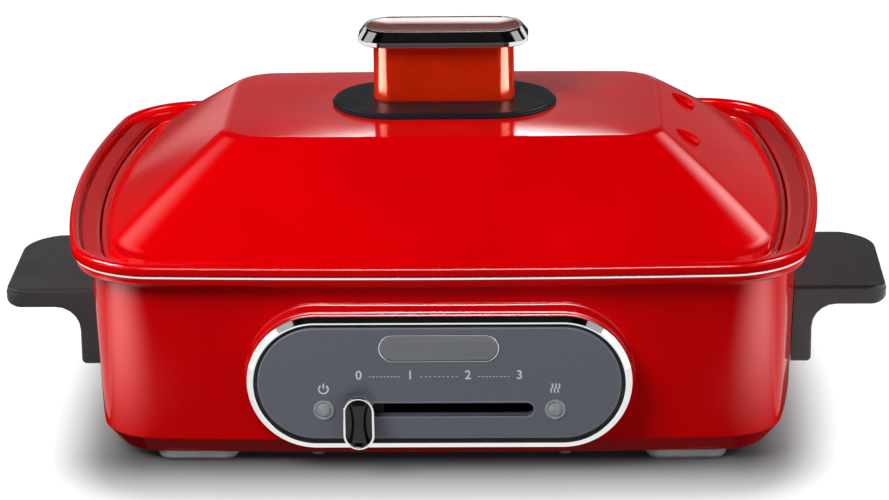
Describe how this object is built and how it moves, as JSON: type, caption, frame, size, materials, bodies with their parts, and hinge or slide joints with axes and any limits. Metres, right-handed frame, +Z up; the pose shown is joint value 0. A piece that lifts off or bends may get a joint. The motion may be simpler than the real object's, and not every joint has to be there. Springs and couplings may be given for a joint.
{
  "type": "multicooker",
  "caption": "Rectangular countertop multicooker: red enamelled housing, lift-out pan, lift-off domed lid with a knob, side handles, and a front slider that turns its thermostat.",
  "frame": {"origin": "on the table under the middle of the housing", "axes": "+X to the viewer's right along the long side, +Y to the back, +Z up; the control panel faces -Y"},
  "size_m": [0.4, 0.273, 0.168],
  "materials": {
    "red_enamel": "gloss enamel",
    "red_plastic": "gloss",
    "knob_red": "gloss",
    "bright_chrome": "polished",
    "black_gloss": "gloss",
    "handle_grey": "satin",
    "panel_grey": "satin",
    "badge_grey": "satin",
    "lens_grey": "frosted",
    "lamp_glass": "clear",
    "black_plastic": "fine texture",
    "base_black": "satin",
    "foot_rubber": "matt",
    "tray_aluminium": "bright",
    "pan_nonstick": "non-stick coating",
    "heater_steel": "heat stained",
    "zinc_steel": "plated",
    "ceramic": "glazed ceramic",
    "spindle_brass": "turned",
    "copper": "drawn copper",
    "pinion_nylon": "moulded nylon",
    "fuse_case": "drawn case",
    "lead_brown": "silicone sleeve",
    "lead_black": "silicone sleeve",
    "lead_blue": "silicone sleeve"
  },
  "bodies": {
    "base": {"housing": "red_enamel", "base_plate": "base_black", "foot_front_left": "foot_rubber", "foot_front_right": "foot_rubber", "foot_rear_left": "foot_rubber", "foot_rear_right": "foot_rubber", "rim_frame": "red_enamel", "reflector_tray": "tray_aluminium", "tray_screws": "zinc_steel", "heating_element": "heater_steel", "element_brackets": "zinc_steel", "element_bushes": "ceramic", "thermostat_body": "ceramic", "thermostat_screws": "zinc_steel", "sensing_bulb": "copper", "bulb_clips": "zinc_steel", "capillary_tube": "copper", "thermal_fuse": "fuse_case", "handle_left": "handle_grey", "handle_right": "handle_grey", "handle_screws": "zinc_steel", "panel_mount": "red_plastic", "panel_studs": "zinc_steel", "panel_nuts": "zinc_steel", "panel_trim": "bright_chrome", "panel_face": "panel_grey", "badge_plate": "badge_grey", "badge_ring": "bright_chrome", "lens_power": "lens_grey", "lens_heat": "lens_grey", "lamp_power": "lamp_glass", "lamp_heat": "lamp_glass", "guide_rods": "zinc_steel", "power_inlet": "black_plastic", "inlet_pins": "spindle_brass", "inlet_screws": "zinc_steel", "base_screws": "zinc_steel", "live_lead": "lead_brown", "switched_lead": "lead_black", "neutral_lead": "lead_blue"},
    "pan": {"cooking_pan": "pan_nonstick"},
    "lid": {"lid_shell": "red_enamel", "knob_plate": "black_gloss", "knob_body": "knob_red", "knob_cap": "bright_chrome", "knob_backing": "zinc_steel", "knob_screws": "zinc_steel"},
    "slider": {"slider_carriage": "black_plastic", "slider_grip": "black_gloss", "slider_ring": "bright_chrome"},
    "thermostat": {"thermostat_spindle": "spindle_brass", "thermostat_pinion": "pinion_nylon"}
  },
  "joints": [
    {"name": "pan_lift", "type": "slide", "parent": "base", "child": "pan", "axis": [0, 0, 1], "range_m": [0, 0.15]},
    {"name": "lid_lift", "type": "slide", "parent": "pan", "child": "lid", "axis": [0, 0, 1], "range_m": [0, 0.15]},
    {"name": "slider_slide", "type": "slide", "parent": "base", "child": "slider", "axis": [1, 0, 0], "range_m": [0, 0.069]},
    {"name": "thermostat_turn", "type": "hinge", "parent": "base", "child": "thermostat", "pos_m": [0, -0.09093, 0.02], "axis": [0, 0, 1], "range_deg": [0, 264]}
  ],
  "couplings": [
    {"joint": "thermostat_turn", "follows": "slider_slide", "rad_per_m": 66.667}
  ]
}
